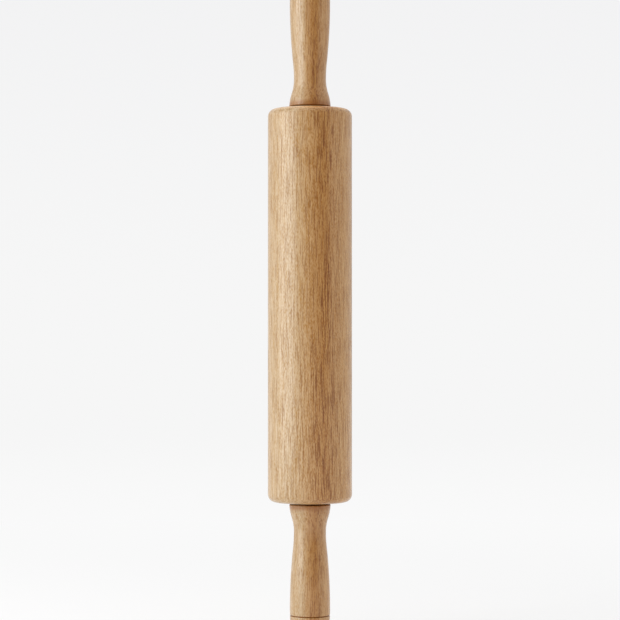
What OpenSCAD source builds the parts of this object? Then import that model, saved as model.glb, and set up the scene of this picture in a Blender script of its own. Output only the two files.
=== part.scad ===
// Rolling pin with two turned handles on a steel axle, standing on the end of its lower handle.
// The Z axis is the axis of the pin and its origin is the middle of the lower end face.
// Each end is drawn once, outwards from the middle of the barrel, and placed by at_end().

/* [Barrel] */
// Diameter of the barrel
barrel_d = 54.4; // [46:0.1:80]
// Length of the barrel
barrel_len = 254; // [150:1:400]
// Rounding radius of the barrel's two ends
barrel_round = 5; // [2:0.5:8]
// Diameter of the hole right through the barrel
barrel_bore_d = 13; // [12.5:0.1:14]

/* [Handle] */
// Gap between the barrel's end and the handle's base, in which the barrel turns
running_gap = 1.5; // [1.2:0.1:2.5]
// Length of a handle from its base to the scored ring
handle_len = 71.6; // [60:0.1:110]
// Diameter of the handle at the crest of its shoulder curve, close to its base
base_d = 26.9; // [26.2:0.1:32]
// Rounding radius of the base's edge
base_round = 0.8; // [0.2:0.1:1.2]
// How far inside the handle's base the crest of its shoulder curve lies
shoulder_depth = 1.5; // [0.5:0.1:4]
// Diameter of the narrow neck
neck_d = 20.8; // [18:0.1:23]
// Distance from the handle's base to the neck
neck_at = 17.7; // [14:0.1:24]
// Diameter of the thickest part of the grip
grip_d = 26.1; // [25:0.1:32]
// Distance from the scored ring back to the thickest part of the grip
grip_back = 4.6; // [0:0.1:14]
// Radius of the curve along the handle from the grip's thickest part to the end
end_curve_r = 125; // [115:1:300]

/* [Scored ring and end cap] */
// Length of the end cap beyond the scored ring
cap_len = 15.9; // [12:0.1:24]
// Rounding radius of the end cap's outer edge
cap_round = 3; // [1:0.1:5]
// Width of the V-shaped ring scored where the cap meets the handle
ring_w = 0.9; // [0.4:0.1:1.6]
// Depth of the scored ring
ring_depth = 0.5; // [0.2:0.05:1]
// Diameter of the pocket in the handle that holds the nut and the cap's spigot
pocket_d = 18; // [16.8:0.1:19]
// Length of the cap's spigot, which plugs the pocket
spigot_len = 6; // [4:0.1:9]
// Space between the axle's end and the spigot
spigot_gap = 1.9; // [0.5:0.1:4]

/* [Ball bearings] */
// Bore of a bearing, which sets the axle's diameter
bearing_bore_d = 8; // [7.6:0.1:8.4]
// Outer diameter of a bearing
bearing_od = 22; // [21.5:0.1:22.5]
// Width of a bearing
bearing_w = 7; // [6.6:0.1:9]
// Diameter of a ball
ball_d = 3.97; // [3.6:0.01:4.1]
// Number of balls in a bearing
ball_count = 7; // [5:1:8]
// Thickness of the cage across the radius
cage_wall = 1.8; // [1.4:0.1:2]
// Thickness of a bearing's shield
shield_t = 0.3; // [0.2:0.05:0.4]
// How far the bearing lies inside the end of the barrel
bearing_recess = 1.5; // [1.2:0.1:3]

/* [Bearing cup] */
// Wall thickness of the cup that holds the bearing in the barrel
cup_wall = 1.5; // [1:0.1:2]
// Thickness of the cup's floor
cup_floor = 1.5; // [1.2:0.1:3]
// Width of the cup's flange beyond its wall
cup_lip = 0.5; // [0.3:0.1:0.8]
// Thickness of the cup's flange
cup_lip_t = 1; // [0.6:0.1:1.2]

/* [Axle fittings] */
// Thickness of the spacer's flange
spacer_t = 1; // [0.5:0.05:1]
// Diameter of the spacer's flange
spacer_d = 20; // [16:0.5:23]
// Thickness of the retaining ring
clip_t = 0.8; // [0.6:0.05:1]
// Width of the retaining ring across the radius
clip_w = 1.5; // [1:0.1:1.8]
// Radius of the retaining ring's lugs
lug_r = 1.2; // [1:0.05:1.3]
// Depth of the ring's groove in the axle
clip_groove_depth = 0.2; // [0.1:0.05:0.4]
// Diameter of the washer under the nut
washer_d = 16; // [15.2:0.1:16.4]
// Thickness of the washer under the nut
washer_t = 1.6; // [1:0.1:2]
// Width of the nut across its flats
nut_width = 13; // [12:0.1:13.4]
// Height of the nut
nut_h = 6.5; // [4:0.1:6.8]
// Length of axle that stands out of the nut
axle_tip = 2; // [0.5:0.1:2.2]
// Chamfer on the axle's ends
axle_chamfer = 0.8; // [0.2:0.1:1.2]

/* [Hidden] */
$fn = 96;
upper = 1;
lower = -1;
// Runs past a face that a cut has to go right through
past = 1;

// Clearances, each across the radius or along the axis
slip = 0.02;
ball_play = 0.02;
pocket_play = 0.1;
land_gap = 0.4;
shield_gap = 0.15;
step_gap = 0.3;
handle_bore_gap = 0.1;
washer_bore_gap = 0.2;

// Places along the axis, measured outwards from the middle of the barrel, and grip_at from the
// handle's base
face_at = barrel_len / 2;
base_at = face_at + running_gap;
ring_at = base_at + handle_len;
end_at = ring_at + cap_len;
grip_at = handle_len - grip_back;
bearing_out_at = face_at - bearing_recess;
bearing_at = bearing_out_at - bearing_w / 2;
bearing_in_at = bearing_out_at - bearing_w;
cup_depth = bearing_recess + bearing_w + cup_floor;
pocket_depth = washer_t + nut_h + axle_tip + spigot_gap + spigot_len;
pocket_floor_at = ring_at - pocket_depth;
nut_at = pocket_floor_at + washer_t;
axle_end_at = nut_at + nut_h + axle_tip;

// Radii
axle_r = bearing_bore_d / 2 - slip;
cup_r = bearing_od / 2 + cup_wall;
lip_r = cup_r + cup_lip;
pocket_r = pocket_d / 2;
nut_corner_r = nut_width / 2 / cos(30);

// The ball bearing's inner sizes
pitch_r = (bearing_bore_d + bearing_od) / 4;
ball_r = ball_d / 2;
// The grooves that the balls run in are a little wider than a ball
track_ratio = 1.04;
track_r = ball_r * track_ratio;
inner_land_r = pitch_r - cage_wall / 2 - land_gap;
outer_land_r = pitch_r + cage_wall / 2 + land_gap;
shield_inset = 0.3;
shield_seat = 0.8;
shield_step = 0.4;
shield_in_r = inner_land_r - shield_step + shield_gap;
shield_out_r = outer_land_r + shield_seat;
shield_in_at = bearing_w / 2 - shield_inset - shield_t;
cage_back_wall = 0.35;
cage_back = ball_r + cage_back_wall;
cage_front = 0.9;

// Steps of about this length draw the handle's curves, and this many draw a rounded edge
curve_step = 1.2;
round_steps = 8;
// Share of each S-curve's two radii that goes to the hollow part at the neck
shoulder_share = 0.47;
grip_share = 0.22;

wood = [0.78, 0.63, 0.46];
steel = [0.75, 0.76, 0.78];
bright_steel = [0.86, 0.87, 0.88];
nylon = [0.92, 0.91, 0.87];
dark_nylon = [0.26, 0.19, 0.13];

// Places the outer end of a piece upwards or downwards from the middle of the barrel
module at_end(side) {
    translate([0, 0, end_at])
        mirror([0, 0, side == lower ? 1 : 0])
            children();
}

// Radius at u on an S-curve from a swelling crest to a hollow neck, drawn as two tangent arcs
function s_curve(u, crest_at, crest_r, hollow_at, hollow_r, share) =
    let (
        run = abs(crest_at - hollow_at),
        rise = crest_r - hollow_r,
        both_r = (run * run + rise * rise) / (2 * rise),
        cove_r = both_r * share,
        swell_r = both_r - cove_r
    )
    abs(u - hollow_at) < run * share
        ? hollow_r + cove_r - sqrt(cove_r * cove_r - (u - hollow_at) * (u - hollow_at))
        : crest_r - swell_r + sqrt(swell_r * swell_r - (u - crest_at) * (u - crest_at));

// Radius of the handle, or of the cap beyond it, at a distance u from the handle's base
function grip_r(u) =
    u < neck_at
        ? s_curve(u, -shoulder_depth, base_d / 2, neck_at, neck_d / 2, shoulder_share)
        : u < grip_at
            ? s_curve(u, grip_at, grip_d / 2, neck_at, neck_d / 2, grip_share)
            : grip_d / 2 - end_curve_r + sqrt(pow(end_curve_r, 2) - pow(u - grip_at, 2));

// Points of the handle's outline between two distances from its base
function grip_points(from, to) =
    let (steps = ceil((to - from) / curve_step))
    [for (i = [0 : steps]) let (u = from + (to - from) * i / steps) [grip_r(u), u]];

// Points of an arc about a centre, from one angle to another
function arc_points(centre, r, from, to, steps) =
    [for (i = [0 : steps]) let (a = from + (to - from) * i / steps)
        [centre[0] + r * cos(a), centre[1] + r * sin(a)]];

// Turned barrel with rounded ends, a hole for the axle and a stepped seat for each cup
module barrel() {
    flat_r = barrel_d / 2 - barrel_round;
    color(wood) translate([0, 0, end_at]) difference() {
        rotate_extrude() {
            translate([0, -face_at]) square([flat_r, barrel_len]);
            translate([0, barrel_round - face_at])
                square([barrel_d / 2, barrel_len - 2 * barrel_round]);
            for (side = [upper, lower])
                translate([flat_r, side * (face_at - barrel_round)]) circle(barrel_round);
        }
        cylinder(d = barrel_bore_d, h = barrel_len + 2 * past, center = true);
        for (side = [upper, lower]) mirror([0, 0, side == lower ? 1 : 0]) {
            translate([0, 0, face_at - cup_depth - slip])
                cylinder(r = cup_r + slip, h = cup_depth + past);
            translate([0, 0, face_at - cup_lip_t - slip])
                cylinder(r = lip_r + slip, h = cup_lip_t + past);
        }
    }
}

// Half outline of the axle from its middle to one end, with the retaining ring's groove
function axle_half() = [
    [axle_r, bearing_in_at - clip_t - slip],
    [axle_r - clip_groove_depth, bearing_in_at - clip_t - slip],
    [axle_r - clip_groove_depth, bearing_in_at],
    [axle_r, bearing_in_at],
    [axle_r, axle_end_at - axle_chamfer],
    [axle_r - axle_chamfer, axle_end_at],
    [0, axle_end_at]
];

// Steel rod from nut to nut, through the handles, the bearings and the barrel
module axle() {
    half = axle_half();
    color(steel) translate([0, 0, end_at]) rotate_extrude()
        polygon(concat(
            half,
            [for (i = [len(half) - 1 : -1 : 0]) [half[i][0], -half[i][1]]]
        ));
}

// Turned handle, bored for the axle, with a pocket for the nut in its outer end
module handle() {
    color(wood) translate([0, 0, base_at]) difference() {
        rotate_extrude() polygon(concat(
            [[0, 0]],
            arc_points([grip_r(base_round) - base_round, base_round], base_round, -90, 0, round_steps),
            grip_points(base_round + curve_step / 2, handle_len - ring_w / 2),
            [[grip_r(handle_len) - ring_depth, handle_len], [0, handle_len]]
        ));
        translate([0, 0, -past]) cylinder(r = axle_r + handle_bore_gap, h = handle_len);
        translate([0, 0, handle_len - pocket_depth])
            cylinder(r = pocket_r, h = pocket_depth + past);
    }
}

// Turned cap that closes the handle's pocket, with a flat end to stand on
// Its rounded edge is an arc that meets both the end curve and the flat end smoothly
module end_cap() {
    total = handle_len + cap_len;
    round_at = total - cap_round;
    round_angle = asin((round_at - grip_at) / (end_curve_r - cap_round));
    round_r = grip_d / 2 - end_curve_r + (end_curve_r - cap_round) * cos(round_angle);
    round_from = grip_at + end_curve_r * sin(round_angle);
    color(wood) translate([0, 0, base_at]) {
        rotate_extrude() polygon(concat(
            [[0, handle_len], [grip_r(handle_len) - ring_depth, handle_len]],
            grip_points(handle_len + ring_w / 2, round_from - curve_step / 2),
            arc_points([round_r, round_at], cap_round, round_angle, 90, round_steps),
            [[0, total]]
        ));
        translate([0, 0, handle_len - spigot_len])
            cylinder(r = pocket_r - slip, h = spigot_len + past);
    }
}

// Hexagonal nut with its corners chamfered at both faces
module nut() {
    drop = (nut_corner_r - nut_width / 2) * tan(30);
    face_r = nut_width / 2;
    color(steel) translate([0, 0, nut_at]) difference() {
        intersection() {
            cylinder(r = nut_corner_r, h = nut_h, $fn = 6);
            rotate_extrude() polygon([
                [0, 0], [face_r, 0], [nut_corner_r, drop],
                [nut_corner_r, nut_h - drop], [face_r, nut_h], [0, nut_h]
            ]);
        }
        translate([0, 0, -past]) cylinder(r = axle_r + slip, h = nut_h + 2 * past);
    }
}

// Flat washer that spreads the nut's load over the wood
module nut_washer() {
    color(bright_steel) translate([0, 0, pocket_floor_at]) difference() {
        cylinder(d = washer_d, h = washer_t);
        translate([0, 0, -past])
            cylinder(r = axle_r + washer_bore_gap, h = washer_t + 2 * past);
    }
}

// Flanged spacer between the bearing's inner race and the handle's base
module spacer() {
    collar_r = inner_land_r - shield_step - slip;
    collar_len = base_at - bearing_out_at;
    color(dark_nylon) difference() {
        union() {
            translate([0, 0, bearing_out_at]) cylinder(r = collar_r, h = collar_len);
            translate([0, 0, base_at - spacer_t]) cylinder(d = spacer_d, h = spacer_t);
        }
        translate([0, 0, bearing_out_at - past])
            cylinder(r = axle_r + slip, h = collar_len + 2 * past);
    }
}

// Cup pressed into the barrel, with a floor behind the bearing and a flange at its mouth
module bearing_cup() {
    back_at = face_at - cup_depth;
    color(dark_nylon) difference() {
        union() {
            translate([0, 0, back_at]) cylinder(r = cup_r, h = cup_depth);
            translate([0, 0, face_at - cup_lip_t]) cylinder(r = lip_r, h = cup_lip_t);
        }
        translate([0, 0, bearing_in_at])
            cylinder(r = bearing_od / 2 + slip, h = bearing_w + bearing_recess + past);
        translate([0, 0, back_at - past]) cylinder(d = barrel_bore_d, h = cup_floor + 2 * past);
    }
}

// Outer race, with its track, and a step at each face that seats a shield
module outer_race() {
    color(bright_steel) translate([0, 0, bearing_at]) difference() {
        rotate_extrude() difference() {
            translate([outer_land_r, -bearing_w / 2])
                square([bearing_od / 2 - outer_land_r, bearing_w]);
            for (face = [0, 1]) mirror([0, face])
                translate([0, shield_in_at - slip]) square([shield_out_r + slip, bearing_w]);
        }
        rotate_extrude() translate([pitch_r + ball_r + ball_play - track_r, 0]) circle(track_r);
    }
}

// Inner race, with its track, and a step at each face that clears the shield's lip
module inner_race() {
    step_r = inner_land_r - shield_step;
    color(bright_steel) translate([0, 0, bearing_at]) difference() {
        cylinder(r = inner_land_r, h = bearing_w, center = true);
        for (face = [0, 1]) mirror([0, 0, face]) translate([0, 0, shield_in_at - step_gap])
            difference() {
                cylinder(r = inner_land_r + past, h = bearing_w);
                translate([0, 0, -past]) cylinder(r = step_r, h = bearing_w + 2 * past);
            }
        cylinder(r = axle_r + slip, h = bearing_w + 2 * past, center = true);
        rotate_extrude() translate([pitch_r - ball_r - ball_play + track_r, 0]) circle(track_r);
    }
}

// Thin ring that closes one face of the bearing
module shield(face) {
    color(bright_steel) translate([0, 0, bearing_at]) mirror([0, 0, face])
        translate([0, 0, shield_in_at]) difference() {
            cylinder(r = shield_out_r, h = shield_t);
            translate([0, 0, -past]) cylinder(r = shield_in_r, h = shield_t + 2 * past);
        }
}

// Turns what it holds to the place of each ball
module at_balls() {
    for (i = [0 : ball_count - 1])
        rotate([0, 0, i * 360 / ball_count]) translate([pitch_r, 0, 0]) children();
}

// Crown-shaped cage whose pockets snap over the balls from one side
module ball_cage() {
    color(nylon) translate([0, 0, bearing_at]) difference() {
        translate([0, 0, -cage_back]) cylinder(r = pitch_r + cage_wall / 2, h = cage_back + cage_front);
        translate([0, 0, -cage_back - past])
            cylinder(r = pitch_r - cage_wall / 2, h = cage_back + cage_front + 2 * past);
        at_balls() sphere(ball_r + pocket_play);
    }
}

// The bearing's ring of balls
module balls() {
    color(bright_steel) translate([0, 0, bearing_at]) at_balls() sphere(ball_r);
}

// Open ring that snaps into the axle's groove and stops the bearing from inside
module retaining_ring() {
    in_r = axle_r - clip_groove_depth + slip;
    out_r = in_r + clip_w;
    lug_out = out_r - lug_r / 2;
    gap_angle = 24;
    eye_r = 0.5;
    color(steel) translate([0, 0, bearing_in_at - clip_t]) linear_extrude(clip_t) difference() {
        union() {
            circle(out_r);
            for (turn = [-1, 1]) rotate(turn * gap_angle) translate([lug_out, 0]) circle(lug_r);
        }
        circle(in_r);
        polygon([
            [0, 0],
            [2 * out_r * cos(gap_angle / 2), 2 * out_r * sin(gap_angle / 2)],
            [2 * out_r * cos(gap_angle / 2), -2 * out_r * sin(gap_angle / 2)]
        ]);
        for (turn = [-1, 1]) rotate(turn * gap_angle) translate([lug_out, 0]) circle(eye_r);
    }
}

barrel();
axle();
at_end(upper) handle();  // upper_handle
at_end(upper) end_cap();  // upper_end_cap
at_end(upper) nut();  // upper_nut
at_end(upper) nut_washer();  // upper_nut_washer
at_end(upper) spacer();  // upper_spacer
at_end(upper) bearing_cup();  // upper_bearing_cup
at_end(upper) outer_race();  // upper_outer_race
at_end(upper) inner_race();  // upper_inner_race
at_end(upper) shield(0);  // upper_outer_shield
at_end(upper) shield(1);  // upper_inner_shield
at_end(upper) ball_cage();  // upper_ball_cage
at_end(upper) balls();  // upper_balls
at_end(upper) retaining_ring();  // upper_retaining_ring
at_end(lower) handle();  // lower_handle
at_end(lower) end_cap();  // lower_end_cap
at_end(lower) nut();  // lower_nut
at_end(lower) nut_washer();  // lower_nut_washer
at_end(lower) spacer();  // lower_spacer
at_end(lower) bearing_cup();  // lower_bearing_cup
at_end(lower) outer_race();  // lower_outer_race
at_end(lower) inner_race();  // lower_inner_race
at_end(lower) shield(0);  // lower_outer_shield
at_end(lower) shield(1);  // lower_inner_shield
at_end(lower) ball_cage();  // lower_ball_cage
at_end(lower) balls();  // lower_balls
at_end(lower) retaining_ring();  // lower_retaining_ring
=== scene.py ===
# %% [markdown]
# A turned rolling pin: a barrel of pale hardwood spins on a steel axle between two handles.
# The measured solids of every piece come first, in metres, and nothing moves them. The wood that
# shows is then turned again over them with finer curves, every piece gets its finish, and the
# studio is set up last.

# %% Load the measured pieces
import math

import bpy
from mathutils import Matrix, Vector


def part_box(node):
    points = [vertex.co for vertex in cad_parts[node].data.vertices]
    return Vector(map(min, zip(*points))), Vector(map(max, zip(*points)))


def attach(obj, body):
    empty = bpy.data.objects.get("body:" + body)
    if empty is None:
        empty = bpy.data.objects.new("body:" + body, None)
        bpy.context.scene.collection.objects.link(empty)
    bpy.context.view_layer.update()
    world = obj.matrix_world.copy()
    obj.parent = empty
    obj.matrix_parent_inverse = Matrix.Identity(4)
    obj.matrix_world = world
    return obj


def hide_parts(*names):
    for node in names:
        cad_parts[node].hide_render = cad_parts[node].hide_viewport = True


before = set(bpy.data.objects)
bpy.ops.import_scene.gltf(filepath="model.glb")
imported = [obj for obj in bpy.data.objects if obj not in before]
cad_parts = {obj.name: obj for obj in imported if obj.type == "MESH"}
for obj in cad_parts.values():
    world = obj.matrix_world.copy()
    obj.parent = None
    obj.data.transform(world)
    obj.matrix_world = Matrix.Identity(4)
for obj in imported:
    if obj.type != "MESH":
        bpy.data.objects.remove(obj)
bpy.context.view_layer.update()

# %% [markdown]
# The camera comes first, because every later choice is judged through it. A photograph is matched
# with four readings: where the pin's axis, its middle and the horizon lie in the picture, and how
# many millimetres one pixel spans at the axis. The eye's distance in pixels sets how strongly
# things shrink with depth, and so the lens.

# %% Place the camera
MM = 0.001
PICTURE = 620
AXIS_X = 309.95
MIDDLE_Y = 305.3
HORIZON_Y = 330.0
EYE_PX = 2200.0
MM_PER_PX = 0.6468
SENSOR_MM = 36.0

barrel_low, barrel_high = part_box("barrel")
MIDDLE = (barrel_low.z + barrel_high.z) / 2 / MM

bpy.ops.object.select_all(action="DESELECT")
bpy.ops.object.camera_add(
    location=(
        (PICTURE / 2 - AXIS_X) * MM_PER_PX * MM,
        -EYE_PX * MM_PER_PX * MM,
        (MIDDLE - (HORIZON_Y - MIDDLE_Y) * MM_PER_PX) * MM,
    ),
    rotation=(math.pi / 2 + math.atan((HORIZON_Y - PICTURE / 2) / EYE_PX), 0, 0),
)
camera = bpy.context.object
camera.data.sensor_width = SENSOR_MM
camera.data.lens = SENSOR_MM * EYE_PX / PICTURE
bpy.context.scene.camera = camera
print("camera", [round(x, 4) for x in camera.location], "lens", round(camera.data.lens, 1))

# %% [markdown]
# The pin's sizes, in millimetres. Heights are counted outwards from the pin's middle, so that both
# ends share one set, and distances along a handle are counted from its base.

# %% Sizes
BARREL_R = 27.2
BARREL_ROUND = 5.0
BARREL_BORE_R = 6.5
CUP_R = 12.52
CUP_LIP_R = 13.02
CUP_LIP_T = 1.02
CUP_DEPTH = 10.02

BASE_R = 13.45
BASE_ROUND = 0.8
SHOULDER_DEPTH = 1.5
NECK_R = 10.4
NECK_AT = 17.7
GRIP_R = 13.05
GRIP_AT = 67.0
END_CURVE_R = 125.0
SHOULDER_SHARE = 0.47
GRIP_SHARE = 0.22
HANDLE_BORE_R = 4.08
POCKET_R = 9.0
POCKET_DEPTH = 18.0

CAP_ROUND = 3.0
SPIGOT_R = 8.98
SPIGOT_LEN = 6.0
RING_W = 0.9
RING_DEPTH = 0.5

FACE = barrel_high.z / MM - MIDDLE
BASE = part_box("upper_handle")[0].z / MM - MIDDLE
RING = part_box("upper_handle")[1].z / MM - MIDDLE
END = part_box("upper_end_cap")[1].z / MM - MIDDLE
HANDLE_LEN = RING - BASE
TOTAL_LEN = END - BASE
print("face, base, ring, end:", [round(x, 2) for x in (FACE, BASE, RING, END)])

# %% [markdown]
# A turner copies a handle from a template: swelling curves that run into hollow ones without a
# corner. Each such S is drawn here as two arcs that touch, which is what the eye reads as turned
# wood. A spline through guessed points would wobble instead.

# %% The handle's outline
CURVE_STEP = 0.8
ROUND_STEPS = 10


def two_arcs(u, crest_at, crest_r, hollow_at, hollow_r, share):
    """Radius at u, on a swelling arc from the crest and a hollow arc at the neck."""
    run, rise = abs(crest_at - hollow_at), crest_r - hollow_r
    both = (run ** 2 + rise ** 2) / (2 * rise)
    cove, swell = both * share, both * (1 - share)
    if abs(u - hollow_at) < run * share:
        return hollow_r + cove - math.sqrt(cove ** 2 - (u - hollow_at) ** 2)
    return crest_r - swell + math.sqrt(swell ** 2 - (u - crest_at) ** 2)


def grip_radius(u):
    """Radius of the handle and its cap at a distance u from the handle's base."""
    if u < NECK_AT:
        return two_arcs(u, -SHOULDER_DEPTH, BASE_R, NECK_AT, NECK_R, SHOULDER_SHARE)
    if u < GRIP_AT:
        return two_arcs(u, GRIP_AT, GRIP_R, NECK_AT, NECK_R, GRIP_SHARE)
    return GRIP_R - END_CURVE_R + math.sqrt(END_CURVE_R ** 2 - (u - GRIP_AT) ** 2)


def grip_line(start, stop):
    """Points of the outline between two distances from the base."""
    steps = math.ceil((stop - start) / CURVE_STEP)
    places = [start + (stop - start) * i / steps for i in range(steps + 1)]
    return [(grip_radius(u), u) for u in places]


def arc(centre_r, centre_u, radius, first, last):
    """Points of an arc, from one angle in degrees to another."""
    turns = [math.radians(first + (last - first) * i / ROUND_STEPS) for i in range(ROUND_STEPS + 1)]
    return [(centre_r + radius * math.cos(t), centre_u + radius * math.sin(t)) for t in turns]


print("neck, grip and end radii:", [round(grip_radius(u), 2) for u in (NECK_AT, GRIP_AT, TOTAL_LEN)])

# %% [markdown]
# Wood turned on a lathe is round about one axis, so each piece is half an outline that is spun.
# The outline is extruded point by point in edit mode from a single vertex, then spun about the
# pin's axis and merged. Small edges are eased with a bevel, as sandpaper does it, and the edges
# that stay sharp are kept crisp by shading smooth only below an angle.

# %% A lathe
TURN_STEPS = 144
MERGE = 0.000001
EASED_EDGE = 0.18 * MM
EASED_STEPS = 2
SHARP = math.radians(32)


def deselect():
    """Leaves edit mode and selects nothing."""
    if bpy.context.object and bpy.context.object.mode != "OBJECT":
        bpy.ops.object.mode_set(mode="OBJECT")
    bpy.ops.object.select_all(action="DESELECT")


def turned(name, outline):
    """A piece whose closed half outline, as (radius, height) in metres, is spun about the axis."""
    deselect()
    bpy.ops.mesh.primitive_plane_add(size=MM)
    piece = bpy.context.object
    piece.name = piece.data.name = name
    bpy.ops.object.mode_set(mode="EDIT")
    bpy.ops.mesh.select_all(action="SELECT")
    bpy.ops.mesh.merge(type="CENTER")
    bpy.ops.transform.translate(value=(outline[0][0], 0, outline[0][1]))
    for (r0, z0), (r1, z1) in zip(outline, outline[1:]):
        bpy.ops.mesh.extrude_region_move(TRANSFORM_OT_translate={"value": (r1 - r0, 0, z1 - z0)})
    bpy.ops.mesh.select_all(action="SELECT")
    bpy.ops.mesh.spin(steps=TURN_STEPS, angle=2 * math.pi, center=(0, 0, 0), axis=(0, 0, 1))
    bpy.ops.mesh.select_all(action="SELECT")
    bpy.ops.mesh.remove_doubles(threshold=MERGE)
    bpy.ops.mesh.normals_make_consistent(inside=False)
    bpy.ops.object.mode_set(mode="OBJECT")
    ease = piece.modifiers.new("eased edges", "BEVEL")
    ease.width, ease.segments = EASED_EDGE, EASED_STEPS
    ease.limit_method, ease.angle_limit = "ANGLE", SHARP
    bpy.ops.object.modifier_apply(modifier=ease.name)
    bpy.ops.object.shade_smooth_by_angle(angle=SHARP)
    print(name, len(piece.data.polygons), "faces")
    return piece


def outwards(points, side, start):
    """Points along a piece, in millimetres from a start, placed on the upper or lower side."""
    return [(r * MM, (MIDDLE + side * (start + u)) * MM) for r, u in points]


# %% [markdown]
# The barrel is one billet with softly rounded ends. A stepped seat at each end holds the cup of a
# ball bearing, and a bore lets the axle through. The hidden seats are turned too, so that the
# piece is a true wall of wood and looks right through the narrow gap beside the handles.

# %% Turn the barrel
UPPER, LOWER = 1, -1

flat_r = BARREL_R - BARREL_ROUND
half_barrel = [
    (BARREL_BORE_R, FACE - CUP_DEPTH),
    (CUP_R, FACE - CUP_DEPTH),
    (CUP_R, FACE - CUP_LIP_T),
    (CUP_LIP_R, FACE - CUP_LIP_T),
    (CUP_LIP_R, FACE),
] + arc(flat_r, FACE - BARREL_ROUND, BARREL_ROUND, 90, 0)
upper_half = outwards(half_barrel, UPPER, 0)
lower_half = outwards(half_barrel, LOWER, 0)[::-1]
barrel = turned("turned_barrel", upper_half + lower_half + upper_half[:1])

# %% [markdown]
# A handle flares at its base, narrows to a neck and swells into the grip. Its outer end is one
# side of the fine V that is scored where the end cap meets it. The bore and the nut's pocket are
# part of the outline.

# %% Turn the handles
base_edge_r = grip_radius(BASE_ROUND) - BASE_ROUND
handle_points = (
    [(HANDLE_BORE_R, 0)]
    + arc(base_edge_r, BASE_ROUND, BASE_ROUND, -90, 0)
    + grip_line(BASE_ROUND + CURVE_STEP, HANDLE_LEN - RING_W / 2)
    + [
        (grip_radius(HANDLE_LEN) - RING_DEPTH, HANDLE_LEN),
        (POCKET_R, HANDLE_LEN),
        (POCKET_R, HANDLE_LEN - POCKET_DEPTH),
        (HANDLE_BORE_R, HANDLE_LEN - POCKET_DEPTH),
        (HANDLE_BORE_R, 0),
    ]
)
handles = {
    side: turned(name + "_turned_handle", outwards(handle_points, side, BASE))
    for side, name in ((UPPER, "upper"), (LOWER, "lower"))
}

# %% [markdown]
# The end cap carries the grip's curve on past the scored ring and closes it with a rounded edge
# and a small flat, which the pin stands on. Its spigot plugs the pocket. The outline starts and
# ends on the axis, where merging closes it.

# %% Turn the end caps
edge_at = TOTAL_LEN - CAP_ROUND
edge_angle = math.asin((edge_at - GRIP_AT) / (END_CURVE_R - CAP_ROUND))
edge_r = GRIP_R - END_CURVE_R + (END_CURVE_R - CAP_ROUND) * math.cos(edge_angle)
edge_from = GRIP_AT + END_CURVE_R * math.sin(edge_angle)
cap_points = (
    [
        (0, HANDLE_LEN - SPIGOT_LEN),
        (SPIGOT_R, HANDLE_LEN - SPIGOT_LEN),
        (SPIGOT_R, HANDLE_LEN),
        (grip_radius(HANDLE_LEN) - RING_DEPTH, HANDLE_LEN),
    ]
    + grip_line(HANDLE_LEN + RING_W / 2, edge_from - CURVE_STEP / 2)
    + arc(edge_r, edge_at, CAP_ROUND, math.degrees(edge_angle), 90)
    + [(0, TOTAL_LEN)]
)
caps = {
    side: turned(name + "_turned_cap", outwards(cap_points, side, BASE))
    for side, name in ((UPPER, "upper"), (LOWER, "lower"))
}

# %% [markdown]
# A finish is a small network of nodes. Writing it as sums and products keeps it readable: the
# Number class wraps one socket, and each operator on it adds a Math node. Every other node comes
# from one method that takes its type, its settings and what goes into its sockets.

# %% A short way to write nodes


class Number:
    """A socket that carries a number, and adds Math nodes when it is reckoned with."""

    def __init__(self, nodes, socket):
        self.nodes, self.socket = nodes, socket

    def maths(self, operation, *terms):
        return self.nodes.add("Math", {"operation": operation}, dict(enumerate(terms)))["Value"]

    def __add__(self, other):
        return self.maths("ADD", self, other)

    def __sub__(self, other):
        return self.maths("SUBTRACT", self, other)

    def __rsub__(self, other):
        return self.maths("SUBTRACT", other, self)

    def __mul__(self, other):
        return self.maths("MULTIPLY", self, other)

    def __truediv__(self, other):
        return self.maths("DIVIDE", self, other)

    def __abs__(self):
        return self.maths("ABSOLUTE", self)

    __radd__, __rmul__ = __add__, __mul__


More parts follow.
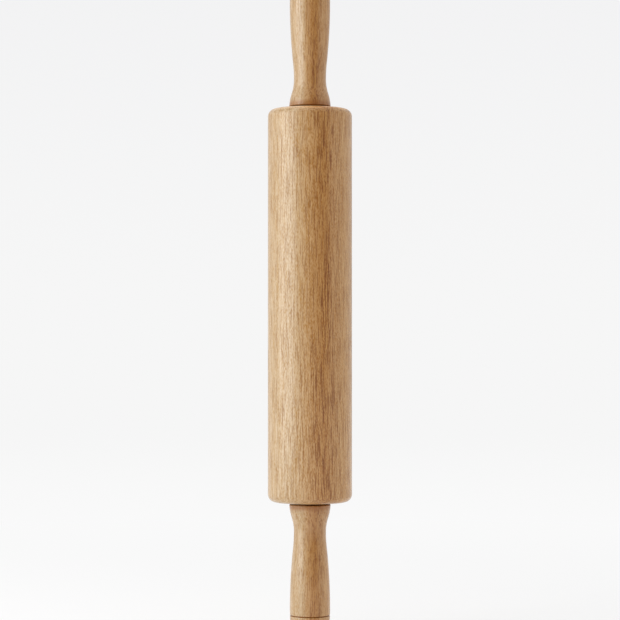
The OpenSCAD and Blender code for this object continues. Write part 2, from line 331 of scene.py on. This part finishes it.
class Nodes:
    """A node tree that is being written."""

    def __init__(self, tree):
        self.tree = tree
        tree.nodes.clear()

    def add(self, kind, settings=None, sockets=None):
        """Adds a node, sets its settings and then its sockets, and returns its outputs."""
        made = self.tree.nodes.new("ShaderNode" + kind)
        for key, value in (settings or {}).items():
            setattr(made, key, value)
        for key, value in (sockets or {}).items():
            found = [s for s in made.inputs if s.enabled and s.name == key]
            socket = made.inputs[key] if isinstance(key, int) else found[0]
            if isinstance(value, Number):
                self.tree.links.new(value.socket, socket)
            else:
                socket.default_value = value
        return {s.name: Number(self, s) for s in made.outputs if s.enabled}

    def step(self, value, low, high):
        """A soft step: 0 below low, 1 above high, or the other way round."""
        if low > high:
            return 1 - self.step(value, high, low)
        sockets = {"Value": value, "From Min": low, "From Max": high}
        return self.add("MapRange", {"interpolation_type": "SMOOTHSTEP"}, sockets)["Result"]

    def blend(self, share, first, second, kind="MIX"):
        """Two colours mixed by a share of the second."""
        settings = {"data_type": "RGBA", "blend_type": kind}
        return self.add("Mix", settings, {"Factor": share, "A": first, "B": second})["Result"]

    def stretched(self, scale, offset=(0, 0, 0)):
        """Places on the object, in cells of a pattern that is stretched along an axis."""
        place = self.add("TexCoord")["Object"]
        return self.add("Mapping", None, {"Vector": place, "Scale": scale, "Location": offset})["Vector"]

    def vector(self, operation, *terms):
        """A sum or product of places or directions."""
        return self.add("VectorMath", {"operation": operation}, dict(enumerate(terms)))["Vector"]

    def length(self, place):
        """The distance of a place from the middle."""
        return self.add("VectorMath", {"operation": "LENGTH"}, {0: place})["Value"]

    def noise(self, place, detail, roughness=0.5):
        """Cloudy noise from about 0.25 to 0.75, around a half."""
        sockets = {"Vector": place, "Scale": 1.0, "Detail": detail, "Roughness": roughness}
        return self.add("TexNoise", None, sockets)

    def bands(self, where, detail=0.0):
        """The same noise along one number."""
        sockets = {"W": where, "Scale": 1.0, "Detail": detail}
        return self.add("TexNoise", {"noise_dimensions": "1D"}, sockets)["Fac"]

    def cells(self, place):
        """Cells that each have a number of their own, from 0 to 1."""
        sockets = {"Vector": place, "Scale": 1.0, "Randomness": 1.0}
        own = self.add("TexVoronoi", {"feature": "F1"}, sockets)["Color"]
        return self.add("SeparateXYZ", None, {0: own})["X"]


def colour(red, green, blue):
    """A colour as a screen shows it, from 0 to 255, as the light that it stands for."""
    parts = [v / 255 for v in (red, green, blue)]
    return tuple(v / 12.92 if v < 0.04045 else ((v + 0.055) / 1.055) ** 2.4 for v in parts) + (1.0,)


def finish(name):
    """An empty material and the nodes to write it with."""
    material = bpy.data.materials.new(name)
    material.use_nodes = True
    return material, Nodes(material.node_tree)


def surface(nodes, sockets, height, depth):
    """The shader at the end of a finish, with a bump as deep as depth, joined to the output."""
    bump = nodes.add("Bump", None, {"Height": height, "Strength": 1.0, "Distance": depth})
    shader = nodes.add("BsdfPrincipled", None, dict(sockets, Normal=bump["Normal"]))["BSDF"]
    nodes.add("OutputMaterial", None, {"Surface": shader})


print("colour of mid grey:", [round(v, 3) for v in colour(188, 188, 188)])

# %% [markdown]
# The wood is painted in depth, not on the surface: growth rings about a pith line behind the pin,
# and fibres drawn out along the grain. One cut of that block shows straight lines on the sides, a
# faint arched figure in front and dots on the end grain, as real wood does. An image texture
# would need unwrapping and would not meet at the end faces. First comes the grain itself: every
# pattern is looked up at places that sway a little, so that all of them bend together.

# %% Grain
# Cells in a metre across and along, and how far the grain is pushed in X and in Y, in metres
SWAY = ((16, 6, 0.003, 0.0045), (200, 45, 0.0004, 0.0002))


def grain_of(n, seed):
    """Places on the wood, in cells of a pattern that is drawn out along a swaying grain."""
    pushes = [
        (n.noise(n.stretched((across, across, along), (seed, 0, 0)), 1.0)["Color"], in_x, in_y)
        for across, along, in_x, in_y in SWAY
    ]

    def grain(across, along, offset=(0, 0, 0)):
        here = n.stretched((across, across, along), offset)
        for push, in_x, in_y in pushes:
            here = n.vector("ADD", here, n.vector("MULTIPLY", push, (across * in_x, across * in_y, 0)))
        return here

    return grain


print("sway of the grain, in mm:", [round(in_x / MM, 1) for _, _, in_x, _ in SWAY])

# %% [markdown]
# Fine lines make the scale of wood believable. Soft noise smears them, so the fibres are long
# cells of one tone each, under half a millimetre wide and one or two centimetres long, and about
# one cell in four is a dark pore. The tone then picks a colour between pale and deep, where the
# deep one loses far more blue than red, and that keeps the dark lines warm. Broad changes come
# last: a dark band in front that is partly heartwood and partly painted shade, a paler and greyer
# side that is painted sheen, a deeper side that is painted shade, a painted highlight around the
# barrel's upper rim, the brown that a scored ring leaves and painted shade at the handles' bases
# beside the gaps. A thin coat of oil gives a sheen with an edge, over a duller one. It stops at
# the faces within the gaps: dry wood does not mirror the backdrop at a glancing view.

# %% Wood
PER_METRE = 1000

# Growth rings: the bend of the pith line, rings in a millimetre, and where late wood sets in
PITH_BEND = 3000
RING_RATE, LATE_RATE = 0.55, 2.4
LATE_EDGE = (0.48, 0.36)

# Cells in a metre along the grain, or across and along it, where fibres do not set them
FLECK_RUNS, STREAK_RUNS = 600, 10
CLOUD_CELLS = (50, 50, 12)

# Cells with a number below about a quarter are pores, and a growth ring shifts that limit
PORE_EDGE, PORE_SHIFT = (0.27, 0.22), 0.3

# Weights of the patterns in the tone of the wood, from the finest to the broadest
FLECKS, STRANDS, THREADS = 1.3, 0.5, 0.06
LATE_WOOD, STREAKS, GROWTH, CLOUDS = 0.07, 0.2, 0.25, 0.2
MIDTONE, CONTRAST, HEART_CONTRAST = 0.42, 0.92, 0.35

# The dark band, partly heartwood and partly painted shade, is gone this far behind the axis,
# and full this far in front of it
HEART_AND_SHADE_FRONT = (2.0, -4.0)

# Colours that the middle one is multiplied by: for pores, for the dark band in front (partly
# painted shade), the paler side (painted sheen), the deeper side (painted shade) and the rim
# (a painted highlight)
PALE, DEEP = (1.21, 1.38, 1.95), (0.75, 0.57, 0.2)
IN_PORES, IN_HEART_AND_SHADE = (0.48, 0.28, 0.02, 1), (0.83, 0.66, 0.42, 1)
IN_PAINTED_SHEEN, IN_PAINTED_SIDE_SHADE, IN_PAINTED_RIM_HIGHLIGHT = (1.03, 1.21, 1.53, 1), (1.0, 0.93, 0.78, 1), (1.5, 1.54, 1.72, 1)
PORE_SHARE, HEART_PORES = 0.5, 0.3

# Gloss and relief, where pores are duller and deeper and dry wood is duller still
OILED_ROUGH, DRY_ROUGHER, PORE_ROUGHER, FIBRE_GLOSS = 0.3, 0.55, 0.2, 0.16
OIL, OIL_ROUGH = 0.35, 0.16
PORE_DEPTH, FIBRE_RELIEF = 0.012 * MM, 0.5


def wood(name, middle, pith, seed, lines, runs, heart, sap, red, bare, figure=1.0, seams=(), worn=()):
    """Turned and oiled hardwood, dry past the bare heights. Lengths are in millimetres, and lines
    and runs say how many fibres lie in a metre, across and along. Then heart is the middle and half
    the width of the dark band in front, partly heartwood and partly painted shade, sap and red are
    where a paler side of painted sheen and a deeper side of painted shade start and are full, worn
    holds the heights and radii of a painted highlight on the rim, and seams give the brown of scored
    rings and the painted shade at the bases beside the gaps."""
    material, n = finish(name)
    grain = grain_of(n, seed)
    place = n.stretched((PER_METRE, PER_METRE, PER_METRE))
    parts = n.add("SeparateXYZ", None, {0: place})
    height = parts["Z"] - MIDDLE
    reach = n.length(n.vector("MULTIPLY", place, (1, 1, 0)))

    # growth rings about a pith line that bends
    radius = n.length(grain(PER_METRE, 0, (-pith[0], -pith[1], 0))) + height * height / PITH_BEND
    rings = n.bands(radius * RING_RATE + seed, 2.0)
    late = n.step(n.bands(radius * LATE_RATE + seed), *LATE_EDGE)

    # fibres and pores, under finer flecks and over broader streaks
    strand = n.cells(grain(lines, runs, (0, seed, 0)))
    thread = n.cells(grain(lines * 0.4, runs * 0.55, (seed, seed, 0)))
    fleck = n.noise(grain(lines, FLECK_RUNS, (seed, 0, 0)), 0.0)["Fac"]
    streak = n.noise(grain(lines * 0.2, STREAK_RUNS, (0, 0, seed)), 1.0)["Fac"]
    cloud = n.noise(n.stretched(CLOUD_CELLS, (0, 0, seed)), 2.0)["Fac"]
    pored = n.cells(grain(lines * 1.1, runs * 1.2, (0, 0, seed))) + (rings - 0.5) * PORE_SHIFT
    pores = n.step(pored, *PORE_EDGE)
    fibre = (fleck - 0.5) * FLECKS + (strand - 0.5) * STRANDS + (thread - 0.5) * THREADS
    broad = (streak - 0.5) * STREAKS + (rings - 0.5) * GROWTH + (cloud - 0.5) * CLOUDS
    tone = fibre - late * LATE_WOOD + broad

    # from tone to colour
    # the dark band in front is partly heartwood and partly painted shade where the front is least lit
    in_front = n.step(parts["Y"], *HEART_AND_SHADE_FRONT)
    inside = n.step(abs(parts["X"] - heart[0]), heart[1], 0.0) * in_front
    contrast = (inside * HEART_CONTRAST + 1) * CONTRAST * figure
    dark = n.step(MIDTONE - tone * contrast, -0.15, 1.15)
    pale, deep = (tuple(m * g for m, g in zip(middle, gains)) + (1.0,) for gains in (PALE, DEEP))
    paint = n.blend(dark, pale, deep)
    tints = [
        (pores * (inside * HEART_PORES + PORE_SHARE) * figure, IN_PORES),
        (inside, IN_HEART_AND_SHADE),
        # painted sheen: paler, greyer wood on the lit side
        (n.step(parts["X"], *sap), IN_PAINTED_SHEEN),
        # painted shade: deeper, less grey wood on the other side
        (n.step(parts["X"], *red), IN_PAINTED_SIDE_SHADE),
    ]
    # a painted highlight: paler wood around the rim
    for low, high, inner, outer in worn:
        tints.append((n.step(height, low, high) * n.step(reach, inner, outer), IN_PAINTED_RIM_HIGHLIGHT))
    for share, tint in tints:
        paint = n.blend(share, paint, tint, "MULTIPLY")
    # the brown of a scored ring, and painted shade at a base beside the gap
    for at, width, strength, tint in seams:
        near = n.step(abs(abs(height) - at), width, width * 0.35)
        paint = n.blend(near * strength, paint, tint)

    # gloss and relief
    dry = n.step(abs(height), *bare)
    rough = pores * PORE_ROUGHER - fibre * FIBRE_GLOSS + dry * DRY_ROUGHER + OILED_ROUGH
    oil = (1 - dry) * OIL
    sockets = {"Base Color": paint, "Roughness": rough, "Coat Weight": oil, "Coat Roughness": OIL_ROUGH}
    surface(n, sockets, fibre * FIBRE_RELIEF - pores, PORE_DEPTH)
    return material


# The scored ring's brown, and the warm painted shade at the handles' bases beside the gaps
BURN = colour(137, 80, 6)
PAINTED_GAP_SHADE = colour(160, 98, 32)

# A painted highlight makes the barrel's upper end paler, around the edge of the flat
RIM = BARREL_R - BARREL_ROUND
# In both woods the dark band is partly heartwood and partly painted shade, one side is painted sheen and
# the other painted shade
barrel_wood = wood(
    "oiled barrel wood", (0.505, 0.291, 0.108), pith=(6, 66), seed=3.7, lines=2500, runs=85,
    heart=(9.2, 14.4), sap=(0, -15), red=(12, 22), bare=(FACE - 0.12, FACE - 0.03),
    worn=[(FACE - 2.4, FACE - 0.4, RIM - 4, RIM + 2)],
)
handle_wood = wood(
    "oiled handle wood", (0.48, 0.27, 0.097), pith=(-30, 40), seed=11.3, lines=2100, runs=45,
    heart=(3.4, 7.0), sap=(-1, -6), red=(6, 11), bare=(BASE + 0.7, BASE + 0.2), figure=0.8,
    # the scored ring, and painted shade at the base beside the gap
    seams=[(RING, 0.6, 0.95, BURN), (BASE, 4.4, 0.62, PAINTED_GAP_SHADE)],
)
print("wood finishes:", barrel_wood.name, handle_wood.name)

# %% [markdown]
# The metal and plastic pieces are mostly hidden within the pin, but they show when the pin is
# taken apart. Drawn steel keeps fine lines along the rod, zinc plate is blotchy, bearing steel is
# ground and polished, and spring steel is dark. Moulded nylon is matt with a faint speckle: white
# for the ball cages, while the cups and spacers that show in the gaps are coloured dark brown as
# painted shade, so that the gaps read dark.

# %% Metal and nylon
UNEVEN = (0.35, 0.65)
LINE_GLOSS, PATCH_GLOSS, LINE_DEPTH = 0.18, 0.14, 0.01 * MM
FLOW_CELLS, SPECKLE_CELLS = 160, 3500
SPECKLE_GLOSS, FLOW_GLOSS, SPECKLE_DEPTH = 0.2, 0.1, 0.02 * MM


def metal(name, base, dull, rough, grit, spots):
    """A metal whose colour and gloss vary with fine lines and with soft spots."""
    material, n = finish(name)
    lines = n.noise(n.stretched(grit), 2.0, 0.6)["Fac"]
    patches = n.noise(n.stretched((spots, spots, spots)), 3.0, 0.55)["Fac"]
    paint = n.blend(n.step((lines + patches) * 0.5, *UNEVEN), base, dull)
    mean_gloss = (LINE_GLOSS + PATCH_GLOSS) / 2
    gloss = lines * LINE_GLOSS + patches * PATCH_GLOSS + (rough - mean_gloss)
    surface(n, {"Base Color": paint, "Metallic": 1.0, "Roughness": gloss}, lines, LINE_DEPTH)
    return material


def plastic(name, base, shade, rough, shine=0.5):
    """Moulded nylon with faint flow marks and a fine speckle."""
    material, n = finish(name)
    flow = n.noise(n.stretched((FLOW_CELLS, FLOW_CELLS, FLOW_CELLS)), 3.0, 0.6)["Fac"]
    speckle = n.noise(n.stretched((SPECKLE_CELLS, SPECKLE_CELLS, SPECKLE_CELLS)), 1.0)["Fac"]
    paint = n.blend(n.step(flow, *UNEVEN), base, shade)
    mean_gloss = (SPECKLE_GLOSS + FLOW_GLOSS) / 2
    gloss = speckle * SPECKLE_GLOSS + flow * FLOW_GLOSS + (rough - mean_gloss)
    sockets = {"Base Color": paint, "Roughness": gloss, "Specular IOR Level": shine}
    surface(n, sockets, speckle, SPECKLE_DEPTH)
    return material


drawn_steel = metal(
    "drawn steel", colour(206, 208, 210), colour(176, 178, 182),
    rough=0.3, grit=(2400, 2400, 30), spots=300,
)
zinc_plate = metal(
    "zinc plate", colour(212, 214, 212), colour(182, 184, 176),
    rough=0.36, grit=(900, 900, 900), spots=420,
)
bearing_steel = metal(
    "bearing steel", colour(226, 228, 230), colour(204, 206, 210),
    rough=0.16, grit=(60, 60, 2600), spots=700,
)
spring_steel = metal(
    "dark spring steel", colour(74, 74, 78), colour(50, 50, 54),
    rough=0.42, grit=(1800, 1800, 400), spots=900,
)
white_nylon = plastic("white nylon", colour(232, 229, 220), colour(220, 216, 204), rough=0.45)
# Painted shade: the cups and spacers are dark brown so that the gaps read dark
gap_shade_nylon = plastic("dark nylon", colour(98, 56, 22), colour(78, 44, 16), rough=0.6, shine=0.15)

# %% [markdown]
# Each piece rides on the body that carries it, so the barrel turns and the handles stay. A piece
# that is turned again stands for its measured solid, and the rest keep their own shape and only
# take a finish.

# %% Put the pieces together


def dress(piece, body, node, material):
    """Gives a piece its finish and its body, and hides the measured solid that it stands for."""
    piece.data.materials.append(material)
    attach(piece, body)
    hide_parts(node)


dress(barrel, "barrel", "barrel", barrel_wood)
for side, name in ((UPPER, "upper"), (LOWER, "lower")):
    dress(handles[side], "handles", name + "_handle", handle_wood)
    dress(caps[side], "handles", name + "_end_cap", handle_wood)

FINISHES = {
    "axle": drawn_steel,
    "nut": zinc_plate,
    "nut_washer": zinc_plate,
    "spacer": gap_shade_nylon,
    "bearing_cup": gap_shade_nylon,
    "ball_cage": white_nylon,
    "outer_race": bearing_steel,
    "inner_race": bearing_steel,
    "outer_shield": bearing_steel,
    "inner_shield": bearing_steel,
    "balls": bearing_steel,
    "retaining_ring": spring_steel,
}
finished = []
for node_name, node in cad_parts.items():
    kind = node_name.replace("upper_", "").replace("lower_", "")
    if kind not in FINISHES:
        continue
    if not node.material_slots:
        node.data.materials.append(FINISHES[kind])
    for each in node.material_slots:
        each.material = FINISHES[kind]
    finished.append(node_name)
print(len(finished), "measured pieces with a finish")

# %% [markdown]
# The floor is a wide pale disc that takes the pin's shadow. What the camera sees of it fades into
# plain white further out, and the sky behind goes on in the same white, so that no edge shows.

# %% Floor
FLOOR_R = 3.0
FLOOR_STEPS = 96
FLOOR_GREY = (0.885, 0.885, 0.885, 1)
FLOOR_PALE = colour(250, 250, 250)
FLOOR_FAR = colour(246, 246, 246)

# What the camera sees of the floor is part glow, which takes no shadow: a share of it close to
# the pin, and how much more it becomes between two distances
GLOW_NEAR, GLOW_MORE = 0.4, 0.6
GLOW_FROM, GLOW_TO = 0.12, 0.9


def seen_directly(n):
    """Two numbers: 1 for a ray from the camera, off gloss or through glass, and 1 for a ray from
    the camera alone. Both are 0 for the rays that light things."""
    rays = n.add("LightPath")
    first = rays["Is Camera Ray"].maths("MAXIMUM", rays["Is Camera Ray"], rays["Is Glossy Ray"])
    return first.maths("MAXIMUM", first, rays["Is Transmission Ray"]), rays["Is Camera Ray"]


deselect()
bpy.ops.mesh.primitive_circle_add(vertices=FLOOR_STEPS, radius=FLOOR_R, fill_type="NGON")
floor = bpy.context.object
floor.name = "floor"

floor_finish, n = finish("pale floor")
away = n.length(n.add("TexCoord")["Object"])
speck = n.noise(n.stretched((40, 40, 40)), 3.0)["Fac"]
matt = {"Base Color": FLOOR_GREY, "Roughness": speck * 0.1 + 0.8, "Specular IOR Level": 0.1}
plain = n.add("BsdfPrincipled", None, matt)["BSDF"]
seen_white = n.blend(n.step(away, 0.1, FLOOR_R), FLOOR_PALE, FLOOR_FAR)
glow = n.add("Emission", None, {"Color": seen_white, "Strength": 1.0})["Emission"]
direct, _ = seen_directly(n)
share = direct * (n.step(away, GLOW_FROM, GLOW_TO) * GLOW_MORE + GLOW_NEAR)
mixed = n.add("MixShader", None, {0: share, 1: plain, 2: glow})["Shader"]
n.add("OutputMaterial", None, {"Surface": mixed})
floor.data.materials.append(floor_finish)
print("floor radius", FLOOR_R)

# %% [markdown]
# The world plays two parts. As light it is a grey fill, which is stronger from above, from behind
# and from both sides, so that the pin's flanks and edges keep their colour. Seen directly it is
# the white backdrop, but gloss sees a dim room in front of the pin, because a studio is dark
# around the camera. That is why the sheen stops short of the middle and the front looks deep.

# %% Backdrop and fill
SKY_WHITE = colour(242, 242, 243)
DIM_ROOM = colour(40, 40, 40)
FROM_ABOVE, FROM_BEHIND, FROM_SIDES, ALL_ROUND = 0.55, 0.6, 0.36, 0.3

# The share of the dim room in what gloss sees: behind the pin, and how much more in front of it
ROOM_BEHIND, ROOM_MORE = 0.2, 0.8
ROOM_EDGE = (-0.5, -0.7)

world = bpy.data.worlds.new("studio")
world.use_nodes = True
bpy.context.scene.world = world
n = Nodes(world.node_tree)
towards = n.add("SeparateXYZ", None, {0: n.add("TexCoord")["Generated"]})
direct, from_camera = seen_directly(n)
backdrop = n.blend(n.step(towards["Z"], 0.0, 0.2), FLOOR_FAR, SKY_WHITE)
room = (n.step(towards["Y"], *ROOM_EDGE) * ROOM_MORE + ROOM_BEHIND) * (1 - from_camera)
backdrop = n.blend(room, backdrop, DIM_ROOM)
seen = n.add("Background", None, {"Color": backdrop, "Strength": 1.0})["Background"]
above = towards["Z"].maths("MAXIMUM", towards["Z"], 0.0)
behind = towards["Y"].maths("MAXIMUM", towards["Y"], 0.0)
level = above * FROM_ABOVE + behind * FROM_BEHIND + abs(towards["X"]) * FROM_SIDES + ALL_ROUND
grey = n.add("CombineColor", None, {part: level for part in ("Red", "Green", "Blue")})["Color"]
fill = n.add("Background", None, {"Color": grey, "Strength": 1.0})["Background"]
mixed = n.add("MixShader", None, {0: direct, 1: fill, 2: seen})["Shader"]
n.add("OutputWorld", None, {"Surface": mixed})
print("world nodes:", len(world.node_tree.nodes))

# %% [markdown]
# A large softbox on the left lights the wood and lays the pale sheen down that side. It spans the
# directions that a round pin mirrors between its edge and a third of the way in, which is what
# sets how wide the sheen is. A weak one above it lifts the end faces and the rims.

# %% Lights
# Name, degrees round from the camera, degrees up, distance, width, height and strength
SOFTBOXES = [
    ("left softbox", -66, 8, 1.1, 1.0, 0.9, 6.95),
    ("top softbox", -40, 60, 1.1, 0.6, 0.6, 0.8),
]
for name, turn, lift, distance, width, height, strength in SOFTBOXES:
    turn, lift = math.radians(turn), math.radians(lift)
    deselect()
    bpy.ops.object.light_add(
        type="AREA",
        location=(
            distance * math.sin(turn) * math.cos(lift),
            -distance * math.cos(turn) * math.cos(lift),
            MIDDLE * MM + distance * math.sin(lift),
        ),
        rotation=(math.pi / 2 - lift, 0, turn),
    )
    box = bpy.context.object
    box.name = name
    box.data.shape = "RECTANGLE"
    box.data.size, box.data.size_y = width, height
    box.data.energy = strength
    box.visible_camera = False
print(len(SOFTBOXES), "softboxes")

# %% [markdown]
# The picture is read as a screen shows it, with no film look on top.

# %% Finish
bpy.context.scene.view_settings.view_transform = "Standard"
